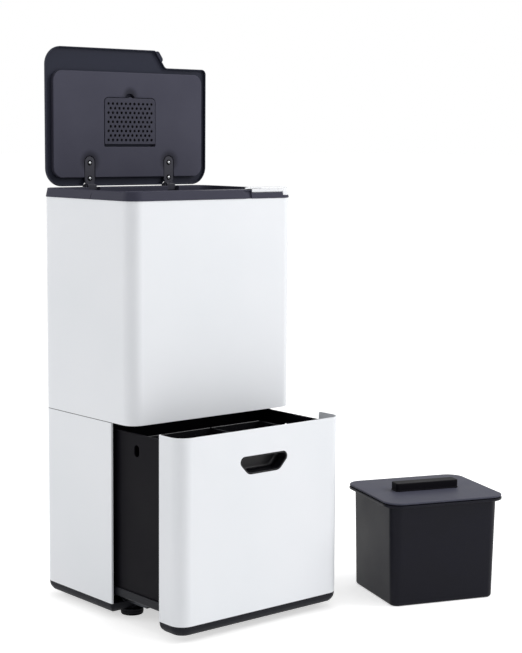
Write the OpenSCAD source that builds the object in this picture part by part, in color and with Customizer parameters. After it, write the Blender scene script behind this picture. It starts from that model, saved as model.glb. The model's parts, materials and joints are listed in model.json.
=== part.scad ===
// Two-tier kitchen waste sorting bin: a hinged lid with an odour filter over a lift-out bucket,
// a pull-out drawer with lift-out dividers below it, and a separate food caddy beside it.
// +Z up, +Y to the rear, origin on the floor under the middle of the casings.

/* [Cabinet] */
// Outside width of the casings
body_w = 385; // [380:1:390]
// Outside depth of the casings
body_d = 290; // [288:1:294]
// Height of the closed lid above the floor
closed_h = 800; // [790:1:830]
// Outside radius of the casing corners
corner_r = 27; // [24:1:30]
// Thickness of the painted steel sheet
sheet = 1.2; // [1:0.1:1.5]
// Height of the joint line between the two casings
seam_z = 370.5; // [368.5:0.5:372.5]
// Distance from the middle of the depth forward to the front edges of the lower casing
bay_front = 82.5; // [80:0.5:88]

/* [Base and feet] */
// Height of the base tray's top face
base_top = 30.5; // [30:0.5:31]
// Depth of the black plinth trim
trim_h = 17.5; // [16:0.5:18]
// Radius of an adjustable foot
foot_r = 22; // [18:0.5:23]
// Sideways distance of the feet from the middle
foot_x = 135; // [125:1:137]
// Distance of the front feet in front of the middle
foot_front = 67; // [56:1:67]
// Distance of the rear feet behind the middle
foot_rear = 105; // [95:1:110]

/* [Lid] */
// Angle that the lid stands open at rest
lid_open = 90; // [0:1:90]
// Depth of the notch at the lid's front right corner
notch_depth = 33.7; // [30:0.1:36]
// Middle of the notch's S-shaped end, to the right of the middle of the lid
notch_x = 77.5; // [70:0.5:90]
// Sideways distance of the hinges from the middle
hinge_x = 95; // [90:1:100]
// Length of a hinge strap from its pin to its tip
strap_l = 60; // [58:1:66]
// Width of a hinge strap
strap_w = 22.6; // [22:0.1:24]
// How deep the straps lie in the liner
recess = 3; // [2.5:0.1:3]
// Radius of the hinge pins
pin_r = 3; // [2.5:0.1:3.5]

/* [Filter] */
// Width of the perforated filter cover
cover_w = 120.6; // [120:0.1:121]
// Number of rows of holes in the cover
hole_rows = 9; // [7:1:9]
// Number of holes in a full row
row_holes = 11; // [9:1:11]

/* [Drawer] */
// How far the drawer stands open at rest
drawer_out = 143; // [0:1:143]
// Height of the drawer front's lower edge
drawer_z0 = 32.5; // [32:0.5:33]
// Outside half width of the drawer tub
tub_x = 180; // [176:1:180]
// Wall thickness of the moulded tubs
tub_wall = 2.5; // [2:0.1:3]
// Width of the hand opening in the drawer front
grip_w = 106; // [100:1:116]
// Height of the hand opening's lower and upper edges
grip_z = [287.5, 317];

/* [Caddy] */
// Width and depth of the caddy at its foot
caddy_foot = [217, 184];
// Width and depth of the caddy under its flange
caddy_mouth = [226, 193];
// Width and depth of the caddy's flange, which its lid covers
caddy_lid_size = [250, 217];
// Radius of the corners of the caddy lid and of the flange
caddy_lid_r = 32; // [20:1:34]
// Height of the caddy's rim
caddy_h = 199.7; // [190:0.1:205]
// Where the caddy stands on the floor
caddy_at = [402, -305];
// Turn of the caddy about the vertical
caddy_turn = -20; // [-45:1:45]

/* [Hidden] */

hw = body_w / 2;
hd = body_d / 2;
inner_x = hw - sheet;
inner_y = hd - sheet;
inner_r = corner_r - sheet;
fine = 32;
$fn = 64;

foot_h = 12.5;
foot_neck = 11.5;
lower_top = seam_z - 0.5;
upper_z0 = seam_z + 0.5;
plate_z0 = seam_z + 1.5;
plate_t = 3;

rim_z = closed_h - 25;
rim_top = closed_h - 8.4;
rim_step = closed_h - 14;
rim_skin = 2.5;
plate_top = closed_h - 4;
plate_wall = 1.8;
plate_front = 1.5 - hd;
plate_ends = [88, 107.3];
lip_x = 70.9;
lip_t = 3;
skirt_x = 167;
skirt_z = rim_z + 5;
skirt_in = 3.8;
open_x = hw - 12;
open_front = -(hd - 45);
open_rear = hd - 37;
ledge_z = rim_z - 10;
pocket_x = 13.5;
pocket_z = closed_h - 23.5;
pocket_rear = hd - 8;

lid_x = hw - 1;
lid_front = -(hd - 1.7);
lid_rear = hd - 24.3;
lid_z0 = closed_h - 8;
lid_r = 35;
lid_t = 2.5;
notch_r = 9;
notch_angle = atan2(31, 22);
notch_run = (notch_depth - 2 * notch_r * (1 - cos(notch_angle))) / sin(notch_angle);
notch_w = 2 * notch_r * sin(notch_angle) + notch_run * cos(notch_angle);
notch_c1 = [notch_x - notch_w / 2, lid_front + notch_r];
notch_c2 = [notch_x + notch_w / 2, lid_front + notch_depth - notch_r];
plate_back = lid_front + notch_depth - 1.5;
notch_way = [cos(notch_angle), sin(notch_angle)];
tab_r = 6;
tab_at = [notch_x, lid_front + notch_depth / 2] + 3 * [notch_way[1], -notch_way[0]] - 4 * notch_way;
pivot = [0, hd - 20.7, closed_h - 10];
liner_x = hw - 15;
liner_front = -(hd - 46.7);
liner_rear = hd - 40.6;
liner_z0 = closed_h - 11.7;
strap_t = 2;
strap_z = liner_z0 + recess;
strap_gap = 1.2;
strap_screw_y = [pivot[1] - 18.3, pivot[1] - 48];
knuckle_r = 9;
knuckle_x = 10;
knuckle_flat = [7.5, 5.5];
window_x = 61;
window_front = -49.3;
window_rear = 45.5;
cover_front = -48.6;
cover_rear = 40.4;
cover_z0 = liner_z0 - 0.5;
cover_pin = [cover_rear - 2, liner_z0 + 2];

rail_x = 150;
rail_y = [-80, 135];
slide_y = [-85, 130];
chassis_z0 = base_top + 15;
chassis_front = -112;
tub_front = -111.5;
tub_rear = 128;
tub_top = lower_top - 12;
divider_y = -7.5;
divider_t = 3;
wing_x = [-16, 103];
slot_y = divider_y + 5.9;
slot_z = lower_top - 44;

bucket_x = hw - 22.5;
bucket_y = [-90, 98];
bucket_r = 14;
bucket_top = ledge_z + rim_skin + 2.8;

front_y = -hd;
wing_y = -bay_front - 1.5;
pan_t = 3.5;
divider_z = [chassis_z0 + pan_t + tub_wall + 0.5, tub_top - 6];

// Sideways and upright distances between the holes of the filter cover, and how far they sit to the rear
hole_pitch = [10.3, 8.76];
hole_shift = 1.6;
hole_r = 2.7;

// Where the screws stand: rear face, rails, hinge brackets, straps and drawer pan
rear_screw_x = 120;
base_screw_places = [for (s = [-1, 1]) [s * rear_screw_x, hd, base_top + 9.5]];
collar_screw_places = [for (s = [-1, 1]) [s * rear_screw_x, hd, lower_top - 9]];
rail_screw_places = [for (s = [-1, 1], y = [-60, 120]) [s * rail_x, y, base_top + 1.5]];
bracket_screw_places = [for (s = [-1, 1], y = [-7, 7])
    [s * hinge_x, pivot[1] + y, pocket_z + 2]];
strap_screw_places = [for (s = [-1, 1], y = strap_screw_y) [s * hinge_x, y, strap_z]];
chassis_screw_places = [for (s = [-1, 1], y = [-70, 110]) [s * rail_x, y, chassis_z0 + pan_t]];

// Slices of the plinth trim: share of its depth, and distance in from the casing's face
trim_slices = [[1, 8.4], [0.74, 4], [0.46, 1.2], [0, 0]];
skin = 0.01;

white = "#eef0f2";
black = "#26272b";
graphite = "#3d3d46";
steel = "#b9bdc2";

// ---- helpers ----

// Outline centred on X, from y0 at the front to y1 at the rear, with front and rear corner radii
module plan(x, y0, y1, rf, rb) {
    translate([-x, y0 + rf]) square([2 * x, y1 - y0 - rf - rb]);
    corner_band(x, y0, rf, 1);
    corner_band(x, y1, rb, -1);
}

// The strip of an outline that holds two rounded corners
module corner_band(x, y, r, way) if (r > 0) {
    translate([r - x, way > 0 ? y : y - r]) square([2 * (x - r), r]);
    for (s = [-1, 1]) translate([s * (x - r), y + way * r]) circle(r);
}

// A flat layer of its children between two heights
module layer(z0, z1) translate([0, 0, z0]) linear_extrude(z1 - z0) children();

// A bar along Y whose section is drawn in X and Z
module along_y(y) translate([0, y[1], 0]) rotate([90, 0, 0]) linear_extrude(y[1] - y[0]) children();

// Its children at the left and at the right
module both(x) for (s = [-1, 1]) translate([s * x, 0, 0]) children();

// Its children at each of a list of places
module at_each(places) for (p = places) translate(p) children();

// A flat-headed screw that points down, with the top of its head at the origin
module screw(head_r, head_h, shank_r, length) {
    translate([0, 0, -head_h]) cylinder(h = head_h, r = head_r);
    translate([0, 0, -length]) cylinder(h = length - head_h, r = shank_r);
}

// Black trim that leans in towards its lower edge, around one of the plan outlines
module plinth(top, y0, y1, rf, rb) hull() for (s = trim_slices)
    let (in = s[1])
        translate([0, 0, top - max(s[0] * trim_h, skin)]) linear_extrude(skin)
            plan(hw - in, y0 + (rf > 0 ? in : 0), y1 - (rb > 0 ? in : 0),
                max(rf - in, 0), max(rb - in, 0), $fn = fine);

// Points of an arc from angle a0 to angle a1
function arc(c, r, a0, a1, steps = 12) =
    [for (i = [0 : steps]) let (a = a0 + (a1 - a0) * i / steps) c + r * [cos(a), sin(a)]];

// The S-shaped end of the lid's notch, moved in from the lid's edge by d
function notch_end(d) = concat(
    arc(notch_c1, notch_r - d, -90, notch_angle - 90),
    arc(notch_c2, notch_r + d, 90 + notch_angle, 90));

// Outline of the closed lid, moved in by d
function lid_outline(d) = concat(
    notch_end(d),
    arc([lid_x - 10, lid_front + notch_depth + 10], 10 - d, -90, 0),
    arc([lid_x - lid_r, lid_rear - lid_r], lid_r - d, 0, 90),
    arc([lid_r - lid_x, lid_rear - lid_r], lid_r - d, 90, 180),
    arc([lid_r - lid_x, lid_front + lid_r], lid_r - d, 180, 270));

// Area of the corner plate's block, grown by d past its inner edges and out over the rim's corner
module plate_area(d) offset(delta = d) polygon([[plate_ends[0], plate_front],
    [plate_ends[0], -hd - 10], [hw + 10, -hd - 10], [hw + 10, plate_back], [plate_ends[1], plate_back]]);

// Strip round the rim's corner that the plate's turned-down side covers, grown inwards by d
module skirt_area(d) difference() {
    translate([skirt_x - d, -hd - 10]) square([hw, plate_back + d + hd + 10]);
    plan(hw - skirt_in - d, skirt_in + d - hd, hd, corner_r - skirt_in - d, 0);
}

// Turns the lid's parts from closed to open about the hinge pins
module on_lid() translate(pivot) rotate([-lid_open, 0, 0]) translate(-pivot) children();

// Slides the drawer's parts to where they stand at rest
module on_drawer(share = 1) translate([0, -share * drawer_out, 0]) children();

// Puts the caddy's parts where it stands
module on_caddy() translate([caddy_at[0], caddy_at[1], 0]) rotate(caddy_turn) children();

// ---- base ----

module foot_places() for (x = [-foot_x, foot_x], y = [-foot_front, foot_rear])
    translate([x, y, 0]) children();

// Moulded tray: plinth trim, top plate and the spigot that the lower casing stands round
module base_tray() color(black) difference() {
    union() {
        plinth(base_top, -bay_front, hd, 0, corner_r);
        layer(base_top - 1, base_top + 17.5) difference() {
            plan(inner_x, 2 - bay_front, inner_y, 0, inner_r);
            plan(inner_x - 3, -bay_front, inner_y - 3, 0, inner_r - 3);
        }
    }
    layer(0, base_top - 3) plan(hw - 11.5, 3 - bay_front, hd - 11.5, 0, corner_r - 11.5);
    foot_places() cylinder(h = base_top + 5, r = 2.2);
    at_each(rail_screw_places) screw(3.5, 1, 1.9, 4);
    rear_screw_holes(base_screw_places);
}

// Adjustable feet, counterbored from below for their screws
module foot_cups() color(black) foot_places() difference() {
    union() {
        translate([0, 0, 3]) cylinder(h = foot_h - 3, r1 = foot_r - 0.5, r2 = foot_r);
        translate([0, 0, foot_h - 1]) cylinder(h = base_top - foot_h - 2, r = foot_neck);
    }
    translate([0, 0, 2]) cylinder(h = base_top, r = 2.2);
    translate([0, 0, 2]) cylinder(h = 8, r = 5);
}

// Rubber pads under the feet
module foot_pads() color("#1c1c1e") foot_places() {
    translate([0, 0, 1]) cylinder(h = 2, r = foot_r - 1);
    cylinder(h = 1, r1 = foot_r - 2, r2 = foot_r - 1);
}

// Screws that hold the feet to the base tray
module foot_screws() color(steel) foot_places() {
    translate([0, 0, 7]) cylinder(h = 3, r = 4.6);
    translate([0, 0, 10]) cylinder(h = base_top - 10.1, r = 2.1);
}

// ---- casings ----

module rear_screw_holes(places) at_each(places) rotate([-90, 0, 0]) translate([0, 0, 1])
    cylinder(h = 12, r = 1.6, center = true);

// U-shaped sheet round the drawer bay, with a hem down each front edge
module lower_casing() color(white) difference() {
    layer(base_top, lower_top) {
        difference() {
            plan(hw, -bay_front, hd, 0, corner_r);
            plan(inner_x, -bay_front - 1, inner_y, 0, inner_r);
        }
        both(inner_x - 1.5) translate([-1.5, -bay_front]) square([3, sheet]);
    }
    rear_screw_holes(base_screw_places);
    rear_screw_holes(collar_screw_places);
}

// Closed sheet tube round the bucket
module upper_casing() color(white) layer(upper_z0, rim_z) difference() {
    plan(hw, -hd, hd, corner_r, corner_r);
    plan(inner_x, -inner_y, inner_y, inner_r, inner_r);
}

// Floor between the two tiers: collar in the lower casing, flange at the seam, plate above
module mid_frame() color(black) difference() {
    union() {
        layer(lower_top - 18, plate_z0) difference() {
            plan(inner_x, sheet - bay_front, inner_y, 0, inner_r);
            plan(inner_x - 3, -bay_front - 1, inner_y - 3, 0, inner_r - 3);
        }
        layer(lower_top, upper_z0) difference() {
            plan(hw - 0.3, sheet - bay_front, hd - 0.3, 0, corner_r - 0.3);
            plan(inner_x - 3, -bay_front - 1, inner_y - 3, 0, inner_r - 3);
        }
        layer(plate_z0, plate_z0 + plate_t) plan(inner_x, -inner_y, inner_y, inner_r, inner_r);
    }
    rear_screw_holes(collar_screw_places);
}

// Self-tapping screws in the rear face
module casing_screws() color(steel)
    at_each(concat(base_screw_places, collar_screw_places))
        rotate([-90, 0, 0]) translate([0, 0, 1.4]) screw(4, 1.4, 1.5, 7);

// ---- rim and hinges ----

module opening() plan(open_x, open_front, open_rear, 22, 22);

// Rim moulding: leaning outer skin, top face, well round the opening and a ledge for the bucket
module top_rim() color(graphite) difference() {
    union() {
        difference() {
            hull() {
                layer(rim_z, rim_z + skin) plan(hw + 1.5, -hd - 1.5, hd + 1.5, 28.5, 28.5, $fn = fine);
                layer(rim_top - skin, rim_top) plan(hw - 2, 2 - hd, hd - 2, 25, 25, $fn = fine);
            }
            rim_channel();
            layer(rim_step, rim_top + 1) plate_area(0.3);
            layer(skirt_z, rim_top + 1) skirt_area(0.3);
        }
        layer(ledge_z, rim_top - 1) difference() {
            plan(open_x + rim_skin, open_front - rim_skin, open_rear + rim_skin, 24.5, 24.5);
            opening();
        }
        layer(ledge_z, ledge_z + rim_skin) difference() {
            plan(open_x + 1, open_front - 1, open_rear + 1, 23, 23);
            plan(open_x - 5, open_front + 5, open_rear - 5, 17, 17);
        }
        layer(rim_z - 13, rim_z + 1) difference() {
            plan(inner_x, -inner_y, inner_y, inner_r, inner_r);
            plan(inner_x - 3, 3 - inner_y, inner_y - 3, inner_r - 3, inner_r - 3);
        }
        both(hinge_x) layer(rim_z - 5, rim_top - 2)
            translate([-pocket_x - 2, open_rear]) square([2 * pocket_x + 4, hd - 5 - open_rear]);
    }
    layer(ledge_z + rim_skin, rim_top + 1) opening();
    both(hinge_x) layer(pocket_z, rim_top + 1)
        translate([-pocket_x, open_rear - 4]) square([2 * pocket_x, pocket_rear - open_rear + 4]);
    at_each(bracket_screw_places) screw(3.5, 1, 1.6, 7.2);
}

// The hollow under the rim's top face
module rim_channel() difference() {
    layer(rim_z - 1, rim_top - rim_skin) difference() {
        plan(hw - 5, 5 - hd, hd - 5, 22, 22);
        plan(open_x, open_front, open_rear, 22, 22);
    }
    layer(rim_step - rim_skin, rim_top) plate_area(rim_skin + 0.3);
    layer(rim_z - 1, rim_top) skirt_area(rim_skin + 0.3);
}

// White moulded plate in the lid's notch: a block, a thin lip to its left and a turned-down side
module corner_plate() color(white) {
    difference() {
        layer(rim_step, plate_top) plate_outline(0);
        layer(rim_step - 1, plate_top - plate_wall) plate_outline(plate_wall);
    }
    layer(plate_top - lip_t, plate_top)
        polygon([[lip_x, plate_front], [plate_ends[1] + 5, plate_front],
            [plate_ends[1] + 5, plate_back], [plate_ends[1], plate_back]]);
    layer(skirt_z, rim_step + 2) intersection() {
        skirt_area(0);
        plan(hw - 0.8, 0.8 - hd, hd, corner_r - 0.8, 0);
    }
}

module plate_outline(d) intersection() {
    plate_area(-d);
    plan(hw - 2.5 - d, plate_front + d, plate_back - d, corner_r - 1 - d, 0);
}

// Steel bracket in the rim's pocket: a leaf and two ears bored for the pin
module hinge_bracket(side) color("#34343b") difference() {
    translate([side * hinge_x, pivot[1], pocket_z]) {
        translate([-12.3, -11.3, 0]) cube([24.6, 23, 2]);
        for (s = [-1, 1]) translate([s * 11.3, 0, 0]) {
            translate([-1, -7, 0]) cube([2, 14, pivot[2] - pocket_z]);
            translate([0, 0, pivot[2] - pocket_z]) rotate([0, 90, 0])
                cylinder(h = 2, r = 7, center = true);
        }
    }
    translate([side * hinge_x, pivot[1], pivot[2]]) rotate([0, 90, 0])
        cylinder(h = 40, r = pin_r + 0.02, center = true);
    at_each(bracket_screw_places) screw(3.5, 1, 1.6, 7.2);
}

// Hinge pin with a thin head at its outer end
module hinge_pin(side) color(steel) translate([side * hinge_x, pivot[1], pivot[2]])
    rotate([0, 90, 0]) {
        cylinder(h = 25, r = pin_r, center = true);
        translate([0, 0, side * 12.9]) cylinder(h = 1, r = pin_r + 1.2, center = true);
    }

module bracket_screws() color(steel) at_each(bracket_screw_places) screw(3.4, 1, 1.5, 7);

// ---- drawer runners ----

// Channel section that stands on Z = 0 and opens upwards between two lips
module channel(w, h, t, gap) difference() {
    translate([-w / 2, 0]) square([w, h]);
    translate([t - w / 2, t]) square([w - 2 * t, h - 2 * t]);
    translate([-gap / 2, h / 2]) square([gap, h]);
}

module runner_rail(side) color(steel) difference() {
    translate([side * rail_x, 0, base_top]) along_y(rail_y) channel(30, 12, 1.5, 18);
    at_each(rail_screw_places) screw(3.5, 1, 1.9, 4);
}

module rail_screws() color(steel) at_each(rail_screw_places) screw(3.4, 1, 1.8, 3.8);

module runner_middle(side) on_drawer(0.5) color(steel)
    translate([side * rail_x, 0, base_top + 2]) along_y(rail_y) channel(26, 7.5, 1.5, 15);

// Inner runner: a foot in the middle channel, a neck and a flange under the chassis
module runner_slide(side) on_drawer() color(steel) difference() {
    translate([side * rail_x, 0, base_top]) along_y(slide_y) {
        translate([-9.5, 4]) square([19, 3]);
        translate([-6, 7]) square([12, 6.3]);
        translate([-12, 13.3]) square([24, 1.7]);
    }
    at_each(chassis_screw_places) screw(4.1, 1.5, 1.9, 6.2);
}

// Rubber stops on the rear wall behind the closed drawer
module drawer_buffers() color("#1c1c1e") both(100)
    translate([0, 0, chassis_z0 + 20]) rotate([-90, 0, 0]) {
        translate([0, 0, tub_rear + 0.8]) cylinder(h = 3, r1 = 6, r2 = 8);
        translate([0, 0, tub_rear + 3.8]) cylinder(h = inner_y - tub_rear - 3.8, r = 8);
    }

// ---- lid ----

// Lid shell with a finger tab on its notch
module lid_shell() on_lid() color(graphite) difference() {
    union() {
        layer(lid_z0, closed_h) polygon(lid_outline(0));
        layer(closed_h - lid_t, closed_h) hull() for (s = [-1, 1])
            translate(tab_at + s * tab_r * notch_way) circle(tab_r);
    }
    layer(lid_z0 - 1, closed_h - lid_t) polygon(lid_outline(lid_t));
    both(hinge_x) layer(lid_z0 - 1, closed_h + 1)
        translate([-knuckle_x - 2.6, lid_rear - 6]) square([2 * knuckle_x + 5.2, 10]);
}

module window() {
    plan(window_x, window_front, window_rear, 9, 3);
    translate([0, window_front + 4.3]) circle(12);
}

// Inner lid panel with hinge pads, screw bosses and the framed opening for the filter
module lid_liner() on_lid() color("#4a4a55") difference() {
    union() {
        layer(liner_z0, liner_z0 + 2.5) plan(liner_x, liner_front, liner_rear, 20, 20);
        layer(strap_z, strap_z + 2.5) both(hinge_x)
            translate([-11, liner_rear - 1]) square([22, 9]);
        both(hinge_x) layer(liner_z0, strap_z + 2.5) strap_plan(strap_gap + 2.5, liner_rear);
        layer(liner_z0 + 2, closed_h - lid_t) difference() {
            plan(liner_x, liner_front, liner_rear, 20, 20);
            plan(liner_x - 2.5, liner_front + 2.5, liner_rear - 2.5, 17.5, 17.5);
        }
        layer(liner_z0 + 2, closed_h - lid_t) {
            plan(window_x + 2, window_front - 2, window_rear + 2, 11, 5);
            translate([0, window_front + 4.3]) circle(14);
        }
        at_each(strap_screw_places) cylinder(h = closed_h - lid_t - strap_z, r = 4.5);
    }
    both(hinge_x) layer(liner_z0 - 1, strap_z) strap_plan(strap_gap, liner_rear + 1);
    layer(liner_z0 - 1, closed_h - lid_t + 1) window();
    at_each(strap_screw_places) translate([0, 0, -1]) cylinder(h = 6.4, r = 2.05);
    translate([0, cover_pin[0], cover_pin[1]]) rotate([0, 90, 0])
        cylinder(h = 2 * window_x + 3, r = 1.55, center = true);
}

// Plan of a hinge strap's leaf with its round tip, grown by d, as far to the rear as y1
module strap_plan(d, y1) let (r = strap_w / 2, tip = pivot[1] - strap_l + strap_w / 2) {
    translate([-r - d, tip]) square([2 * (r + d), y1 - tip]);
    translate([0, tip]) circle(r + d);
}

// Steel strap: a leaf with a round tip, and a knuckle with a flat face, bored for the pin
module hinge_strap(side) on_lid() color("#34343b") translate([side * hinge_x, 0, 0]) difference() {
    union() {
        layer(strap_z - strap_t, strap_z) {
            strap_plan(0, pivot[1] - 10);
            translate([-knuckle_x, pivot[1] - 10.5]) square([2 * knuckle_x, 10.5]);
        }
        translate(pivot) rotate([0, 90, 0]) linear_extrude(2 * knuckle_x, center = true) hull() {
            circle(knuckle_r);
            for (s = [-1, 1]) translate([knuckle_flat[0], s * knuckle_flat[1]]) circle(1.5);
        }
    }
    translate(pivot) rotate([0, 90, 0]) cylinder(h = 30, r = pin_r + 0.03, center = true);
    for (y = strap_screw_y) translate([0, y, strap_z - 5]) cylinder(h = 10, r = 2.3);
}

// Round-headed screws through the straps
module strap_screws() on_lid() color("#d5d8dc") at_each(strap_screw_places)
    translate([0, 0, -strap_t - 2]) mirror([0, 0, 1]) screw(4, 2, 2, 9);

// ---- filter ----

// Perforated cover that swings out of the liner on two short pins
module filter_cover() on_lid() color("#44444e") {
    layer(cover_z0, cover_z0 + 1.6) difference() {
        union() {
            plan(cover_w / 2, cover_front, cover_rear, 8, 2);
            translate([0, cover_front + 7.1]) circle(9);
        }
        for (row = [0 : hole_rows - 1], i = [0 : row_holes - 1 - row % 2])
            translate([(i - (row_holes - 1 - row % 2) / 2) * hole_pitch[0],
                (cover_front + cover_rear) / 2 + hole_shift + (row - (hole_rows - 1) / 2) * hole_pitch[1]])
                circle(hole_r, $fn = 10);
    }
    layer(cover_z0 + 1.5, cover_z0 + 8.2) difference() {
        plan(cover_w / 2, cover_front, cover_rear, 8, 2);
        plan(cover_w / 2 - 1.5, cover_front + 1.5, cover_rear - 1.5, 6.5, 0.5);
    }
    both(cover_w / 2 + 0.3) translate([0, cover_pin[0], cover_pin[1]]) rotate([0, 90, 0])
        cylinder(h = 2.6, r = 1.5, center = true);
}

// Carbon felt pad behind the cover
module filter_cartridge() on_lid() color("#1a1a1c")
    layer(cover_z0 + 1.6, cover_z0 + 7.6) plan(56, cover_front + 4, cover_rear - 8, 4, 4);

// ---- drawer ----

// Hand opening: a bar that narrows downwards, with small upper and larger lower corners
module grip_outline(d) hull() {
    for (s = [-1, 1]) {
        translate([s * (grip_w / 2 - 10), grip_z[1] - 10]) circle(10 + d, $fn = fine);
        translate([s * (grip_w / 2 - 23), grip_z[0] + 17]) circle(17 + d, $fn = fine);
    }
}

// Sheet drawer front that wraps round both corners
module drawer_front() on_drawer() color(white) difference() {
    layer(drawer_z0, lower_top) difference() {
        plan(hw, front_y, wing_y, corner_r, 0);
        plan(inner_x, front_y + sheet, wing_y + 1, inner_r, 0);
    }
    along_y([front_y - 1, front_y + 5]) grip_outline(0);
}

// Black trim under the drawer front
module drawer_trim() on_drawer() color(black) {
    difference() {
        plinth(drawer_z0, front_y, wing_y, corner_r, 0);
        layer(drawer_z0 - trim_h + 3, drawer_z0 + 1)
            plan(hw - 11.5, front_y + 11.5, wing_y - 3, corner_r - 11.5, 0);
    }
    layer(drawer_z0 - 1, drawer_z0 + 5) difference() {
        plan(inner_x, front_y + sheet, wing_y - 3, inner_r, 0);
        plan(inner_x - 14, front_y + sheet + 14, wing_y, inner_r - 14, 0);
    }
}

// Moulded frame behind the sheet: back panel with caps above and below, and a web at each side
module front_frame() on_drawer() color(black) {
    t = 3;
    layer(drawer_z0 + 5, tub_top) translate([-tub_x - t, chassis_front - t])
        square([2 * (tub_x + t), t]);
    for (z = [drawer_z0 + 5, tub_top - t]) layer(z, z + t) intersection() {
        plan(inner_x, front_y + sheet, wing_y, inner_r, 0);
        translate([-hw, -hd]) square([2 * hw, chassis_front + hd]);
    }
    both(tub_x + t / 2) layer(drawer_z0 + 5, tub_top)
        translate([-t / 2, front_y + 12]) square([t, 20]);
}

// Hand pocket behind the opening
module handle_scoop() on_drawer() color("#1b1b1e") difference() {
    union() {
        along_y([front_y + sheet, front_y + sheet + 2]) grip_outline(8);
        along_y([front_y + 0.1, front_y + 28]) grip_outline(-0.05);
    }
    along_y([front_y - 1, front_y + 26]) grip_outline(-2);
}

// Steel pan that carries the tub on the runners
module drawer_chassis() on_drawer() color("#2e2f34") difference() {
    union() {
        layer(chassis_z0, chassis_z0 + pan_t) translate([-tub_x - 3, chassis_front])
            square([2 * tub_x + 6, tub_rear - chassis_front]);
        both(tub_x + 1.75) layer(chassis_z0, chassis_z0 + 16.5)
            translate([-1.25, chassis_front]) square([2.5, tub_rear - chassis_front]);
    }
    at_each(chassis_screw_places) screw(4.1, 1.5, 1.9, 6.2);
    for (x = [-90, 0, 90]) layer(chassis_z0 - 1, chassis_z0 + 5)
        translate([x - 30, -90]) square([60, 190]);
}

module chassis_screws() on_drawer() color(steel) at_each(chassis_screw_places) screw(4, 1.5, 1.8, 6);

// Upright slot with round ends in the tub's sides
module side_slot() rotate([90, 0, 90]) linear_extrude(2 * tub_x + 20, center = true) {
    translate([slot_y - 7.5, slot_z - 3.5]) square([15, 7]);
    for (s = [-1, 1]) translate([slot_y, slot_z + s * 3.5]) circle(7.5);
}

// Moulded drawer tub with a turned-out rim, hand slots and ribs that guide the dividers
module drawer_tub() on_drawer() color("#1f1f23") {
    z0 = chassis_z0 + pan_t;
    difference() {
        union() {
            layer(z0, tub_top) plan(tub_x, tub_front, tub_rear, 20, 20);
            layer(tub_top - 3, tub_top) plan(tub_x + 2, tub_front, tub_rear, 20, 20);
        }
        layer(z0 + tub_wall, tub_top + 1)
            plan(tub_x - tub_wall, tub_front + tub_wall, tub_rear - tub_wall, 17.5, 17.5);
        side_slot();
    }
    layer(z0 + tub_wall, slot_z - 16) for (s = [-1, 1]) {
        translate([tub_wall - tub_x - 0.1, divider_y + s * 2.6 - 0.7]) square([4, 1.4]);
        for (x = wing_x) translate([x + s * 2.6 - 0.7, tub_front + tub_wall - 0.1]) square([1.4, 4]);
    }
}

// ---- dividers ----

// Plate across the drawer from its left side
module cross_divider() on_drawer() color("#303036") layer(divider_z[0], divider_z[1])
    translate([tub_wall + 0.6 - tub_x, divider_y - divider_t / 2])
        square([wing_x[1] + divider_t / 2 + tub_x - tub_wall - 0.6, divider_t]);

// Two plates from the cross divider forward to the tub's front wall
module divider_wings() on_drawer() color("#303036") layer(divider_z[0], divider_z[1])
    for (x = wing_x) translate([x - divider_t / 2, tub_front + tub_wall + 0.6])
        square([divider_t, divider_y - divider_t / 2 - tub_front - tub_wall - 0.6]);

// ---- bucket ----

module waste_bucket() color("#1f1f23") difference() {
    union() {
        layer(plate_z0 + plate_t + 2, bucket_top)
            plan(bucket_x, bucket_y[0], bucket_y[1], bucket_r, bucket_r);
        layer(bucket_top - tub_wall, bucket_top)
            plan(open_x - 1.5, open_front + 1.5, open_rear - 1.5, 20.5, 20.5);
    }
    layer(plate_z0 + plate_t + 2 + tub_wall, bucket_top + 1)
        plan(bucket_x - tub_wall, bucket_y[0] + tub_wall, bucket_y[1] - tub_wall,
            bucket_r - tub_wall, bucket_r - tub_wall);
}

// ---- caddy ----

// Plan of the caddy at one size, smaller all round by d
module caddy_plan(size, r, d) plan(size[0] / 2 - d, d - size[1] / 2, size[1] / 2 - d, r - d, r - d);

// Tapered block of the caddy's body, smaller all round by d
module caddy_block(z0, z1, d) hull() {
    layer(z0, z0 + skin) caddy_plan(caddy_foot, 16, d, $fn = fine);
    layer(z1 - skin, z1) caddy_plan(caddy_mouth, 20, d, $fn = fine);
}

module caddy_tub() on_caddy() color("#232328") difference() {
    union() {
        caddy_block(0, caddy_h, 0);
        layer(caddy_h - 4.7, caddy_h) caddy_plan(caddy_lid_size, caddy_lid_r, 0);
    }
    caddy_block(2.5, caddy_h + 0.5, 2.5);
}

// Lid plate on a lower step, with a plug ring that drops into the tub's mouth
module caddy_lid() on_caddy() color("#3a3b45") {
    layer(caddy_h + 2.2, caddy_h + 5.3) caddy_plan(caddy_lid_size, caddy_lid_r, 0.7);
    layer(caddy_h + 0.3, caddy_h + 2.3) caddy_plan(caddy_lid_size, caddy_lid_r, 5);
    layer(caddy_h - 9, caddy_h + 0.5) difference() {
        caddy_plan(caddy_mouth, 20, 4.5);
        caddy_plan(caddy_mouth, 20, 7);
    }
}

// Gasket round the plug ring
module caddy_seal() on_caddy() color("#17171a") layer(caddy_h - 5, caddy_h - 2) difference() {
    caddy_plan(caddy_mouth, 20, 3.4);
    caddy_plan(caddy_mouth, 20, 4.5);
}

// Grip bar on the caddy lid
module caddy_handle() on_caddy() color("#1d1d21") layer(caddy_h + 5.3, caddy_h + 21.3)
    plan(67.5, -15, 15, 6, 6);

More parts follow.
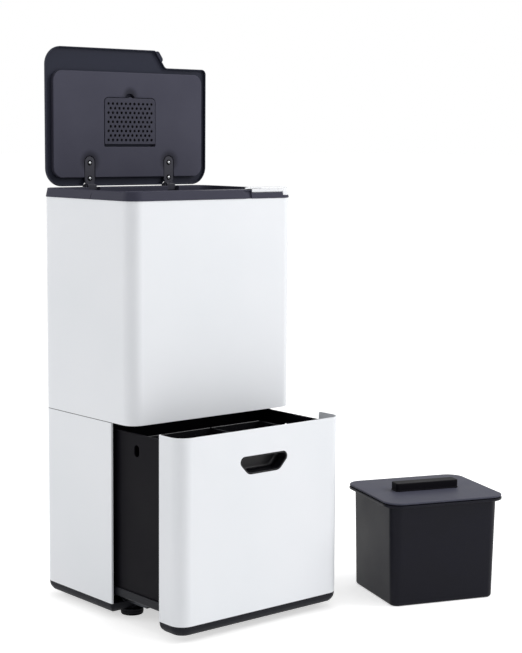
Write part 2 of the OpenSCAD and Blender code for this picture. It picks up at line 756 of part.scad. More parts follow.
base_tray();
foot_cups();
foot_pads();
foot_screws();
lower_casing();
mid_frame();
upper_casing();
casing_screws();
top_rim();
corner_plate();
hinge_bracket(-1);  // hinge_bracket_left
hinge_bracket(1);  // hinge_bracket_right
hinge_pin(-1);  // hinge_pin_left
hinge_pin(1);  // hinge_pin_right
bracket_screws();
runner_rail(-1);  // runner_rail_left
runner_rail(1);  // runner_rail_right
rail_screws();
drawer_buffers();
lid_shell();
lid_liner();
hinge_strap(-1);  // hinge_strap_left
hinge_strap(1);  // hinge_strap_right
strap_screws();
filter_cover();
filter_cartridge();
drawer_front();
drawer_trim();
front_frame();
handle_scoop();
drawer_chassis();
drawer_tub();
runner_slide(-1);  // runner_slide_left
runner_slide(1);  // runner_slide_right
chassis_screws();
runner_middle(-1);  // runner_middle_left
runner_middle(1);  // runner_middle_right
cross_divider();
divider_wings();
waste_bucket();
caddy_tub();
caddy_lid();
caddy_handle();
caddy_seal();
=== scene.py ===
# A two-tier kitchen waste sorting bin: its finished surfaces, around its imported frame.
# Shapes are worked out in millimetres and go into the meshes in metres. +Y is the rear.
import json
import math

import bpy
import numpy as np
from mathutils import Matrix, Vector
from mathutils.geometry import delaunay_2d_cdt

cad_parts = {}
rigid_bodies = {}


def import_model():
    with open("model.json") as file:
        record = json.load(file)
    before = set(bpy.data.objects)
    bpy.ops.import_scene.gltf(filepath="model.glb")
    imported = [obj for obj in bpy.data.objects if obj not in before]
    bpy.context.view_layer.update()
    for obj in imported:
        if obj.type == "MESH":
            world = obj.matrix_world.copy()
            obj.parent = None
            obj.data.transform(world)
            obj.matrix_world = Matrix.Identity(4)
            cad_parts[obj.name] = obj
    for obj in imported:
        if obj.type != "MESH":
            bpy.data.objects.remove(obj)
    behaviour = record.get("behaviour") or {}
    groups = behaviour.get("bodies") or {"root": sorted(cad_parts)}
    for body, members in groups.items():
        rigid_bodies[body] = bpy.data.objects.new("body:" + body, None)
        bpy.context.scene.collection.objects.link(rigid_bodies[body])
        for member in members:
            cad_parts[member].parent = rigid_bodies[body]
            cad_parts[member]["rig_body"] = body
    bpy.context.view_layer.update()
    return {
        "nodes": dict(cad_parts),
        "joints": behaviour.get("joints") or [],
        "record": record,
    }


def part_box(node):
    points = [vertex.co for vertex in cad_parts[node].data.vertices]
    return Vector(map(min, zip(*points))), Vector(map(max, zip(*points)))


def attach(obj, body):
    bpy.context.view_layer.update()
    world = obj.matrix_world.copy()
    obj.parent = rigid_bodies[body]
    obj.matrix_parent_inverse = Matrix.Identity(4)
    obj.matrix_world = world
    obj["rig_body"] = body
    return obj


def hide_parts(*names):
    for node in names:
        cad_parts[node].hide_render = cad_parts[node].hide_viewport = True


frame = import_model()

MM = 0.001
NODES = frame["nodes"]
SLOT_OF = {part["node"]: part["material_slot"] for part in frame["record"]["subparts"]}
HINGE_PIN = next(np.array(j["pos_m"]) / MM for j in frame["joints"] if j["name"] == "lid_hinge")

# Dimensions that the nodes' boxes don't give
SHEET = 1.2             # painted sheet
CORNER = 27.0           # outside radius of the casings' corners
HEM = 4.2               # the sheet's folded return down a free edge
FOLD = 1.7              # outside radius of such a fold
WALL = 2.5              # moulded walls
NOTCH_DEPTH = 33.7      # the lid's notch at its front right corner
NOTCH_MID = 77.5        # middle of the notch's slanted end
NOTCH_SLOPE = 22 / 31   # how far that end runs sideways for each mm of depth
NOTCH_R = 9.0           # radius of both bends of that end


# ---- the frame in millimetres ----

def box(node):
    """Lowest and highest corner of a CAD node."""
    low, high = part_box(node)
    return np.array(low) / MM, np.array(high) / MM


def lid_box(node):
    """Lowest and highest corner of one of the lid's nodes as it lies when shut, from the hinge pin.

    The lid stands open by a quarter turn, so shut y is pin z - z, and shut z is y - pin y."""
    low, high = box(node)
    return (np.array([low[0], HINGE_PIN[2] - high[2], low[1] - HINGE_PIN[1]]),
            np.array([high[0], HINGE_PIN[2] - low[2], high[1] - HINGE_PIN[1]]))


def opened(points):
    """From the shut lid to the open one: (x, y, z) goes to (x, pin y + z, pin z - y)."""
    x, y, z = np.moveaxis(points, -1, 0)
    return np.stack([x, HINGE_PIN[1] + z, HINGE_PIN[2] - y], -1)


def upright(points):
    """From a plan to a front view: (x, y, z) goes to (x, -z, y)."""
    x, y, z = np.moveaxis(points, -1, 0)
    return np.stack([x, -z, y], -1)


def sideways(points):
    """Turns the Z axis to X, and X to Y: (x, y, z) goes to (z, x, y)."""
    return np.roll(points, 1, -1)


def moved(shell, x=0.0, y=0.0, z=0.0, turn=np.array):
    """A shell turned, if need be, and carried to another place."""
    return turn(shell[0]) + [x, y, z], shell[1]


# ---- outlines and sections ----

CHORD = 0.03    # how far a chord may leave its arc
SHARP = 0.05    # the least radius that a corner keeps


def path(corners, inset=0.0, closed=True):
    """Points of a line with rounded corners, moved by inset to its left.

    A corner (x, y, r) becomes an arc of radius r - inset where the line turns left, and of r + inset
    where it turns right. The arc's centre lies on the mitre, at that radius from both sides, and its
    steps are as long as CHORD allows. An open line keeps its two ends as they are."""
    corners = [(*corner, 0.0)[:3] for corner in corners]
    points = np.array([corner[:2] for corner in corners], float)
    legs = np.roll(points, -1, 0) - points
    legs /= np.hypot(legs[:, 0], legs[:, 1])[:, None]
    lefts = np.stack([-legs[:, 1], legs[:, 0]], 1)
    runs = []
    for i, (point, corner) in enumerate(zip(points, corners)):
        before, after, r = lefts[i - 1], lefts[i], max(corner[2], SHARP)
        if not closed and i in (0, len(corners) - 1):
            runs.append([point + inset * (before if i else after)])
            continue
        turn = math.atan2(before[0] * after[1] - before[1] * after[0], before @ after)
        side = math.copysign(1, turn)
        radius = max(r - side * inset, SHARP)
        centre = point + (before + after) / (1 + before @ after) * (inset + side * radius)
        steps = math.ceil(abs(turn) / (2 * math.acos(max(1 - CHORD / r, 0.5))))
        angle = np.linspace(0, turn, steps + 1)[:, None]
        spoke = -side * radius * before
        runs.append(centre + np.cos(angle) * spoke + np.sin(angle) * [-spoke[1], spoke[0]])
    return np.concatenate(runs)


def wire(corners, inset=0.0):
    """Points of a line that stays open."""
    return path(corners, inset, closed=False)


def rounded(corners):
    """A closed outline as a function of its inset. It runs anticlockwise, or clockwise for a hole."""
    return lambda inset=0.0: path(corners, inset)


def bore(x, y, r, count=14):
    """A round hole as a function of its inset: a clockwise circle of radius r + inset."""
    angle = np.linspace(0, -2 * np.pi, count, endpoint=False)
    return lambda inset=0.0: np.stack([x + (r + inset) * np.cos(angle), y + (r + inset) * np.sin(angle)], 1)


def round_bar(count=48):
    """A circle as a function of its radius."""
    angle = np.linspace(0, 2 * np.pi, count, endpoint=False)
    return lambda r: np.stack([r * np.cos(angle), r * np.sin(angle)], 1)


def plan(low, high, front, rear=None):
    """Corners of a rectangle, anticlockwise from the front left, with its front and rear radii."""
    rear = front if rear is None else rear
    return [(low[0], low[1], front), (high[0], low[1], front),
            (high[0], high[1], rear), (low[0], high[1], rear)]


def flat_wall(z0, z1, thick, r=0.5):
    """Closed section of a wall of even thickness with rounded edges."""
    return path([(0, z0, r), (0, z1, r), (thick, z1, r), (thick, z0, r)])


# ---- surfaces ----

def rings(outline, section):
    """One copy of an outline for each (inset, height) point of a section."""
    return np.array([np.column_stack([xy, np.full(len(xy), z)])
                     for xy, z in ((outline(inset), z) for inset, z in section)])


def loft(grid, wrap=True, join=False):
    """Vertices and faces of the surface through a grid of points.

    Face (i, j) joins points j and j + 1 of ring i to the same points of ring i + 1. wrap closes every
    ring, and join closes the last ring onto the first. Anticlockwise rings that rise face outwards."""
    m, n = grid.shape[:2]
    i, j = np.meshgrid(np.arange(m if join else m - 1), np.arange(n if wrap else n - 1), indexing="ij")
    up, on = (i + 1) % m, (j + 1) % n
    faces = np.stack([i * n + j, i * n + on, up * n + on, up * n + j], -1)
    return grid.reshape(-1, 3), [faces.reshape(-1, 4)]


def solid(grid):
    """A loft with a flat face over its first and its last ring."""
    points, faces = loft(grid)
    first, last = np.arange(grid.shape[1]), np.arange(len(points) - grid.shape[1], len(points))
    return points, faces + [first[None, ::-1], last[None, :]]


def tube(outline, section):
    """A closed section carried round a closed outline."""
    return loft(rings(outline, section), join=True)


def strip(line, section):
    """A closed section carried along an open line, with a flat face at each end."""
    grid = rings(lambda inset: wire(line, inset), section)
    points, faces = loft(grid, wrap=False, join=True)
    start = np.arange(0, len(points), grid.shape[1])
    return points, faces + [start[None, :], (start + grid.shape[1] - 1)[None, ::-1]]


def slab(corners, z0, z1, top=0.6, foot=None):
    """A plate between two heights, with its upper and lower edges rounded by arcs."""
    foot = top if foot is None else foot
    section = wire([(1.5 * foot + 0.1, z0), (0, z0, foot), (0, z1, top), (1.5 * top + 0.1, z1)])
    return solid(rings(rounded(corners), section))


def turned(profile, count=48):
    """A (radius, height) profile turned about the Z axis, from the middle of its foot to that of its top."""
    return solid(rings(round_bar(count), profile))


def enclosed(loops, spots):
    """Which spots lie in the area between loops of points: a line from such a spot crosses the loops an
    odd number of times."""
    x, y = spots.T[:, :, None]
    px, py = np.concatenate(loops).T
    qx, qy = np.concatenate([np.roll(loop, -1, 0) for loop in loops]).T
    rise = np.where(qy == py, 1.0, qy - py)
    crossed = ((py > y) != (qy > y)) & (x < (qx - px) * (y - py) / rise + px)
    return crossed.sum(1) % 2 == 1


def fill(loops, inner):
    """Triangles of the flat area between loops of points, by way of some inner points.

    A constrained Delaunay net covers the hull. A triangle stays where its middle is enclosed, and is
    turned to run anticlockwise."""
    points = np.concatenate([*loops, inner])
    starts = np.cumsum([0] + [len(loop) for loop in loops[:-1]])
    ends = np.concatenate([np.roll(np.arange(len(loop)), -1) + s for loop, s in zip(loops, starts)])
    edges = np.stack([np.arange(len(ends)), ends], 1)
    net = delaunay_2d_cdt([Vector(p) for p in points], edges.tolist(), [], 0, 1e-6)
    known = np.array([origin[0] for origin in net[3]])
    faces = known[np.array(net[2])]
    faces = faces[enclosed(loops, points[faces].mean(1))]
    a, b, c = (points[faces[:, k]] for k in range(3))
    area = (b[:, 0] - a[:, 0]) * (c[:, 1] - a[:, 1]) - (b[:, 1] - a[:, 1]) * (c[:, 0] - a[:, 0])
    return np.where((area < 0)[:, None], faces[:, ::-1], faces)


def panel(*edges, inner=()):
    """A plate with holes. Each edge is an (outline, section) pair whose section starts on the lower face
    and ends on the upper one. The two faces are filled between all the edges, and the lower one goes by
    way of the inner points that lie on it."""
    grids = [rings(outline, section) for outline, section in edges]
    shells = [loft(grid) for grid in grids]
    points = np.concatenate([shell[0] for shell in shells])
    starts = np.cumsum([0] + [len(shell[0]) for shell in shells[:-1]])
    faces = [shell[1][0] + s for shell, s in zip(shells, starts)]
    lower = np.concatenate([np.arange(grid.shape[1]) + s for grid, s in zip(grids, starts)])
    upper = np.concatenate([np.arange(grid.shape[1]) + s + (grid.shape[0] - 1) * grid.shape[1]
                            for grid, s in zip(grids, starts)])
    feet, tops = ([grid[k][:, :2] for grid in grids] for k in (0, -1))
    inner = np.reshape(inner, (-1, 2))
    inner = inner[enclosed(feet, inner)]
    lower = np.concatenate([lower, np.arange(len(inner)) + len(points)])
    points = np.concatenate([points, np.column_stack([inner, np.full(len(inner), grids[0][0, 0, 2])])])
    faces.append(lower[fill(feet, inner)][:, ::-1])
    faces.append(upper[fill(tops, inner[:0])])
    return points, faces


def screw_head(radius, height, sunk=1.0):
    """A domed head with a cross recess, on a short shank below Z = 0.

    Height over the plane is the dome's height times the root of 1 - (r / radius) squared, less a cross
    whose two bars fade out over their half width and near the rim."""
    r = radius * np.linspace(1, 0.04, 13)[:, None]
    angle = np.linspace(0, 2 * np.pi, 48, endpoint=False)[None, :]
    x, y = r * np.cos(angle), r * np.sin(angle)
    bar = lambda across, along: (np.clip(1.8 - across / (0.11 * radius), 0, 1)
                                 * np.clip(3 - along / (0.2 * radius), 0, 1))
    cross = np.maximum(bar(np.abs(x), np.abs(y)), bar(np.abs(y), np.abs(x)))
    z = height * np.sqrt(np.clip(1 - (r / radius) ** 2, 0, 1)) - 0.55 * height * cross
    dome = np.stack([x, y, z], -1)
    return solid(np.concatenate([dome[:1] - [0, 0, sunk], dome]))


# ---- objects ----

def shape(name, *shells, place=None):
    """A mesh object of closed shells, each a pair of vertices and groups of faces, put in place."""
    starts = np.cumsum([0] + [len(points) for points, _ in shells[:-1]])
    points = np.concatenate([points for points, _ in shells])
    points = (place(points) if place else points) * MM
    faces = [face for (_, groups), s in zip(shells, starts)
             for group in groups for face in (group + s).tolist()]
    mesh = bpy.data.meshes.new(name)
    mesh.from_pydata(points.tolist(), [], faces)
    mesh.update()
    thing = bpy.data.objects.new(name, mesh)
    bpy.context.scene.collection.objects.link(thing)
    return thing


def carve(thing, *shells, place=None):
    """Cuts closed shells out of an object, for good."""
    for shell in shells:
        cutter = shape("cutter", shell, place=place)
        cut = thing.modifiers.new("cut", "BOOLEAN")
        cut.operation, cut.solver, cut.object = "DIFFERENCE", "EXACT", cutter
        result = thing.evaluated_get(bpy.context.evaluated_depsgraph_get())
        mesh = bpy.data.meshes.new_from_object(result)
        thing.modifiers.clear()
        thing.data = mesh
        bpy.data.objects.remove(cutter)
    return thing


def dress(thing, node, slot=None):
    """Shades an object smooth up to 40 degrees, and gives it a node's body and the finish of its slot."""
    slot = slot or SLOT_OF[node]
    thing.data.shade_smooth()
    thing.data.set_sharp_from_angle(angle=math.radians(40))
    normals = thing.modifiers.new("normals", "WEIGHTED_NORMAL")
    normals.keep_sharp = True
    thing.data.materials.clear()
    thing.data.materials.append(FINISHES[slot])
    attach(thing, NODES[node]["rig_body"])


def stand_for(thing, node):
    """Dresses an object and hides the CAD node that it stands for."""
    dress(thing, node)
    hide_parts(node)


# ---- finishes ----

def linear(code):
    """An sRGB hex colour as linear RGBA."""
    value = np.array([int(code[i:i + 2], 16) for i in (1, 3, 5)]) / 255
    return (*np.where(value <= 0.04045, value / 12.92, ((value + 0.055) / 1.055) ** 2.4), 1.0)


def add(tree, kind, inputs, **settings):
    """Adds a node: settings are its own properties, and an input is a value or another node's output."""
    made = tree.nodes.new("ShaderNode" + kind)
    for key, value in settings.items():
        setattr(made, key, value)
    for key, value in inputs.items():
        if isinstance(value, bpy.types.NodeSocket):
            tree.links.new(value, made.inputs[key])
        else:
            made.inputs[key].default_value = value
    return made


def material(name):
    """An empty material with its node tree and the object's own coordinates."""
    made = bpy.data.materials.new(name)
    made.use_nodes = True
    made.node_tree.nodes.clear()
    return made, made.node_tree, add(made.node_tree, "TexCoord", {}).outputs["Object"]


def noise(tree, where, size, detail=2.0, rough=0.5):
    """A noise whose lumps are about `size` millimetres apart."""
    return add(tree, "TexNoise", {"Vector": where, "Scale": 1 / (size * MM), "Detail": detail,
                                  "Roughness": rough}).outputs[0]


def spread(tree, value, low, high):
    """A noise value, which stays near the middle, spread between two numbers."""
    return add(tree, "MapRange", {0: value, 1: 0.3, 2: 0.7, 3: low, 4: high}).outputs[0]


def tones(tree, value, dark, light):
    """A noise value as a colour between two close tones."""
    return add(tree, "Mix", {0: spread(tree, value, 0.0, 1.0), 6: linear(dark), 7: linear(light)},
               data_type="RGBA").outputs[2]


def relief(tree, height, depth):
    """A bump of some millimetres between the low and the high ends of a 0 to 1 height."""
    return add(tree, "Bump", {"Height": height, "Distance": depth * MM}).outputs[0]


def coat(made, colour, rough, ior=1.5, level=0.5, **others):
    """Ends a material in a Principled shader, of which `others` names more inputs."""
    shader = add(made.node_tree, "BsdfPrincipled", {
        "Base Color": colour, "Roughness": rough, "IOR": ior, "Specular IOR Level": level, **others})
    add(made.node_tree, "OutputMaterial", {0: shader.outputs[0]})
    return made


def powder_coat(name, dark, light):
    """Polyester powder baked on steel: a satin skin with a shallow orange peel."""
    made, tree, where = material(name)
    drift = noise(tree, where, 220)
    peel = noise(tree, where, 2.4, 1.0)     # lumps of the orange peel
    return coat(made, tones(tree, drift, dark, light), spread(tree, peel, 0.36, 0.44),
                Normal=relief(tree, peel, 0.012))


def moulded(name, dark, light, rough=(0.46, 0.56), level=0.1, grain=0.7, depth=0.02, shaded_dishes=()):
    """Injection-moulded polypropylene or ABS from a spark-eroded tool: an even, fine grit.

    The grit of such a tool is about 0.2 mm across, and is drawn three times as coarse so that it shows.
    Each of the shaded dishes is a dish (x, y, z, radius) round which shade is painted into the colour: the
    skin is darker towards its middle."""
    made, tree, where = material(name)
    flow = noise(tree, where, 90, 3.0)      # slow changes of gloss as the melt filled the tool
    grit = noise(tree, where, grain, 2.0, 0.6)
    colour = tones(tree, flow, dark, light)
    # Painted shade: the colour darkens towards the middle of each dish, where shadow would fall
    for x, y, z, r in shaded_dishes:
        away = add(tree, "VectorMath", {0: where, 1: (x * MM, y * MM, z * MM)},
                   operation="DISTANCE").outputs[1]
        share = add(tree, "MapRange", {0: away, 1: 0.4 * r * MM, 2: r * MM, 3: DISH_PAINTED_SHADE, 4: 1.0},
                    interpolation_type="SMOOTHSTEP").outputs[0]
        colour = add(tree, "VectorMath", {0: colour, 3: share}, operation="SCALE").outputs[0]
    return coat(made, colour, spread(tree, flow, *rough), 1.49, level, Normal=relief(tree, grit, depth))


def plated(name, dark, light, rough, stretch=(1, 1, 1), grain=1.2):
    """Zinc- or chrome-plated steel: drawn or rolled lines that the plating leaves visible."""
    made, tree, where = material(name)
    run = add(tree, "Mapping", {"Vector": where, "Scale": stretch}).outputs[0]
    lines = noise(tree, run, grain, 3.0, 0.6)
    bloom = noise(tree, where, 14, 2.0)     # clouding of the passivation
    return coat(made, tones(tree, bloom, dark, light), spread(tree, lines, *rough), Metallic=1.0,
                Normal=relief(tree, lines, 0.006))


def stove_enamel(name, dark, light, rough=(0.34, 0.42), level=0.2):
    """Pressed steel with a thin black electro-dip coat, which keeps the metal's fine rolled texture."""
    made, tree, where = material(name)
    cloud = noise(tree, where, 18, 2.0)
    skin = noise(tree, where, 0.5, 2.0, 0.6)
    return coat(made, tones(tree, cloud, dark, light), spread(tree, cloud, *rough), 1.52, level,
                Normal=relief(tree, skin, 0.01))


def rubber(name, dark, light):
    """Moulded nitrile rubber: dull and deep black."""
    made, tree, where = material(name)
    bloom = noise(tree, where, 9, 3.0)
    return coat(made, tones(tree, bloom, dark, light), spread(tree, bloom, 0.7, 0.85), 1.52, 0.08,
                Normal=relief(tree, noise(tree, where, 0.8), 0.04))


def felt(name, dark, light):
    """Needled carbon felt: matted fibres about 2 mm long, lying every way in the pad's plane."""
    made, tree, where = material(name)
    along = add(tree, "Mapping", {"Vector": where, "Scale": (1, 4, 4)}).outputs[0]
    across = add(tree, "Mapping", {"Vector": where, "Scale": (4, 4, 1)}).outputs[0]
    fibres = add(tree, "Math", {0: noise(tree, along, 2.4, 4.0), 1: noise(tree, across, 2.4, 4.0)},
                 operation="MAXIMUM").outputs[0]
    return coat(made, tones(tree, fibres, dark, light), 0.95, level=0.1, Normal=relief(tree, fibres, 0.5))


DISH_PAINTED_SHADE = 0.45       # painted shade: how much of its lightness the skin keeps in the middle of a dish
# Painted shade round the liner's dishes at the two straps' tips and the finger arch (x, y, z, radius)
LINER_PAINTED_SHADE = [(-95, 122.6, 840, 27), (95, 122.6, 840, 27), (0, 122.6, 966, 22)]

FINISHES = {
    "casing_paint": powder_coat("white_powder_coat", "#e8ebef", "#eceef2"),
    "corner_plate_white": moulded("white_abs", "#e6e8eb", "#ebecef", (0.3, 0.38), 0.5),
    "trim_plastic": moulded("black_trim_polypropylene", "#1b1c21", "#202126"),
    "rim_plastic": moulded("graphite_rim_abs", "#363643", "#3b3b48"),
    "lid_plastic": moulded("graphite_lid_abs", "#262834", "#2a2c39"),
    "liner_plastic": moulded("grey_liner_abs", "#41414e", "#464653", shaded_dishes=LINER_PAINTED_SHADE),
    "grille_plastic": moulded("grey_grille_abs", "#3c3c48", "#41414d"),
    "tub_plastic": moulded("black_tub_polypropylene", "#0b0a0f", "#0f0e13", level=0.06),
    "divider_plastic": moulded("charcoal_divider_polypropylene", "#0c0c0f", "#101013", (0.24, 0.3), 0.4),
    "scoop_plastic": moulded("black_scoop_polypropylene", "#0d0d11", "#111115", (0.32, 0.4), 0.25),
    "caddy_plastic": moulded("black_caddy_polypropylene", "#0a0a14", "#0d0d18", (0.38, 0.46), 0.14),
    "caddy_lid_plastic": moulded("graphite_caddy_lid_polypropylene", "#42434f", "#474855"),
    "hinge_metal": stove_enamel("dipped_hinge_steel", "#32323b", "#383841"),
    "zinc_steel": plated("black_zinc_plated_steel", "#33353a", "#3f4146", (0.35, 0.5), (8, 1, 8)),
    "screw_chrome": plated("bright_chrome_screw", "#cfd2d6", "#e2e4e6", (0.1, 0.18)),
    "chassis_steel": stove_enamel("dipped_pan_steel", "#1a1b20", "#1f2025", level=0.1),
    "soft_rubber": rubber("black_nitrile_rubber", "#08080a", "#0c0c0e"),
    "carbon_felt": felt("carbon_felt", "#030304", "#0a0a0b"),
}

for node, slot in SLOT_OF.items():
    NODES[node].data.materials.clear()
    NODES[node].data.materials.append(FINISHES[slot])


# ---- camera, floor and light ----

def aim(thing, place, forward, roll=0.0):
    """Stands a camera or a lamp at a place, in metres, looking forward, and rolls it."""
    forward = Vector(forward).normalized()
    right = forward.cross((0, 0, 1)).normalized()
    turn = Matrix((right, right.cross(forward), -forward)).transposed().to_4x4()
    thing.matrix_world = Matrix.Translation(place) @ turn @ Matrix.Rotation(roll, 4, "Z")
    bpy.context.scene.collection.objects.link(thing)


def camera(place, yaw, pitch, roll, lens):
    """A level-headed view: yaw turns from +Y to +X, pitch looks down, in degrees."""
    yaw, pitch = math.radians(yaw), math.radians(pitch)
    forward = (math.sin(yaw) * math.cos(pitch), math.cos(yaw) * math.cos(pitch), -math.sin(pitch))
    eye = bpy.data.objects.new("camera", bpy.data.cameras.new("camera"))
    eye.data.lens = lens
    aim(eye, place, forward, math.radians(roll))
    bpy.context.scene.camera = eye


def softbox(name, azimuth, height, distance, size, strength, target=(0.05, -0.05, 0.45)):
    """A square lamp. Azimuth 0 is in front and 90 is at the right, in degrees.

    strength is what it adds to a surface that faces it, where 1 shows a colour as it is written, so the
    lamp's power is strength times pi squared times the distance squared."""
    lamp = bpy.data.lights.new(name, "AREA")
    lamp.shape, lamp.size = "SQUARE", size
    lamp.energy = strength * math.pi ** 2 * distance ** 2
    turn, rise = math.radians(azimuth), math.radians(height)
    away = Vector((math.sin(turn) * math.cos(rise), -math.cos(turn) * math.cos(rise), math.sin(rise)))
    aim(bpy.data.objects.new(name, lamp), Vector(target) + away * distance, -away)


def plain_sight(tree):
    """1 where a ray goes to the camera straight, or by way of gloss or glass, and 0 elsewhere."""
    ray = add(tree, "LightPath", {})
    both = add(tree, "Math", {0: ray.outputs["Is Camera Ray"], 1: ray.outputs["Is Glossy Ray"]})
    return add(tree, "Math", {0: both.outputs[0], 1: ray.outputs["Is Transmission Ray"]},
               use_clamp=True).outputs[0]


def studio(ambient=0.58, floor_glow=0.56):
    """Even light from all round that shows as white, over a pale floor that keeps the shadows."""
    world = bpy.data.worlds.new("studio")
    world.use_nodes = True
    world.node_tree.nodes.clear()
    tree = world.node_tree
    level = add(tree, "MapRange", {0: plain_sight(tree), 3: ambient, 4: 1.0}).outputs[0]
    add(tree, "OutputWorld", {0: add(tree, "Background", {1: level, 0: (1, 1, 1, 1)}).outputs[0]})
    bpy.context.scene.world = world

    # One quad, wide enough to reach the horizon
    half = 60.0
    mesh = bpy.data.meshes.new("floor")
    corners = [(-half, -half, 0), (half, -half, 0), (half, half, 0), (-half, half, 0)]
    mesh.from_pydata(corners, [], [(0, 1, 2, 3)])
    floor = bpy.data.objects.new("floor", mesh)
    bpy.context.scene.collection.objects.link(floor)
    made, tree, where = material("pale_studio_floor")
    glow = add(tree, "Math", {0: plain_sight(tree), 1: floor_glow}, operation="MULTIPLY").outputs[0]
    mesh.materials.append(coat(made, tones(tree, noise(tree, where, 400), "#e6e6e6", "#e9e9e9"), 0.9,
                               level=0.0, **{"Emission Color": (1, 1, 1, 1), "Emission Strength": glow}))


camera((-1.8505, -2.4443, 0.8914), 40.48, 6.79, 0.41, 88.15)
studio()
softbox("key", 50, 34, 3.5, 1.6, 0.43)
softbox("fill", -125, 22, 3.5, 1.8, 0.25)
softbox("front", 14, 8, 3.8, 1.8, 0.12)
softbox("top", 10, 80, 3.0, 2.0, 0.12)
bpy.context.scene.view_settings.view_transform = "Standard"


# ---- base and feet ----

def bow(top, foot):
    """Corners of the black trim's outside: it bows in towards its lower edge, by shares of its depth."""
    depth = top - foot
    return [(8.4, foot, 1.4), (4.0, top - 0.74 * depth, 9), (1.2, top - 0.46 * depth, 12), (0, top, 0.6)]


def base_tray():
    """Black moulded tray with its bowed plinth, and a spigot that the lower casing stands round."""
    low, high = box("base_tray")
    top = box("lower_casing")[0][2]
    section = wire([(25.5, top - 3), (11.5, top - 3, 1.0), (11.5, low[2], 0.6), *bow(top, low[2]),
                    (14, top)])
    tray = solid(rings(rounded(plan(low, high, 5, CORNER)), section))
    x, rear, r = high[0] - SHEET, high[1] - SHEET, CORNER - SHEET
    line = [(x, low[1] + 2), (x, rear, r), (-x, rear, r), (-x, low[1] + 2)]
    spigot = strip(line, flat_wall(top - 0.5, high[2], 3.0))
    stand_for(shape("base_tray_moulding", tray, spigot), "base_tray")


def feet():
    """Four black foot cups with a grooved skirt, each on a rubber pad."""
    (x0, y0, z0), (x1, y1, z1) = box("foot_cups")
    r, neck, skirt_top = 22.0, 11.5, 12.5
    cup = turned(wire([(2, z0), (r - 0.5, z0, 0.8), (r - 0.3, z0 + 4.2, 0.4), (r - 1.2, z0 + 4.7, 0.3),
                       (r - 1.2, z0 + 5.6, 0.3), (r - 0.2, z0 + 6.1, 0.4), (r, skirt_top, 1.4),
                       (neck, skirt_top, 0.6), (neck, z1, 0.3), (2, z1)]), 64)
    places = [(x, y) for x in (x0 + r, x1 - r) for y in (y0 + r, y1 - r)]
    stand_for(shape("foot_cup_mouldings", *(moved(cup, x, y) for x, y in places)), "foot_cups")
    pad_top = box("foot_pads")[1][2]
    pad = turned(wire([(2, 0), (r - 2, 0, 0.6), (r - 1, 1.2, 0.4), (r - 1, pad_top, 0.3), (2, pad_top)]), 64)
    stand_for(shape("foot_pad_discs", *(moved(pad, x, y) for x, y in places)), "foot_pads")


# ---- casings ----

def casings():
    """White sheet: a closed tube above, and a U with folded front edges below."""
    low, high = box("upper_casing")
    stand_for(shape("upper_casing_sheet", tube(rounded(plan(low, high, CORNER)),
                                               flat_wall(low[2], high[2], SHEET))), "upper_casing")
    low, high = box("lower_casing")
    line = [(high[0] - HEM, low[1]), (high[0], low[1], FOLD), (high[0], high[1], CORNER),
            (low[0], high[1], CORNER), (low[0], low[1], FOLD), (low[0] + HEM, low[1])]
    stand_for(shape("lower_casing_sheet", strip(line, flat_wall(low[2], high[2], SHEET))), "lower_casing")


def rear_screws():
    """Domed cross-head screws in the rear of the lower casing."""
    (x0, _, z0), (x1, rear, z1) = box("casing_screws")
    r = 4.0
    skin = box("lower_casing")[1][1]
    head = screw_head(r, rear - skin)
    to_rear = lambda points: np.stack([-points[:, 0], points[:, 2], points[:, 1]], -1)
    heads = [moved(head, x, skin, z, to_rear) for x in (x0 + r, x1 - r) for z in (z0 + r, z1 - r)]
    stand_for(shape("casing_screw_heads", *heads), "casing_screws")


# ---- rim and corner plate ----

PLATE_ENDS = (88.0, 107.3)  # the slanted inner end of the corner plate's block, in front and behind
SKIRT_X = 165.3             # where the plate's turned-down side starts
SKIRT_TOP = 8.0             # height of that side


def plate_block():
    """Lowest and highest corner of the corner plate's block, which is 10 mm thick."""
    low, high = box("corner_plate")
    return np.array([PLATE_ENDS[0], low[1] + 0.7, high[2] - 10]), high - [1.7, 0, 0]


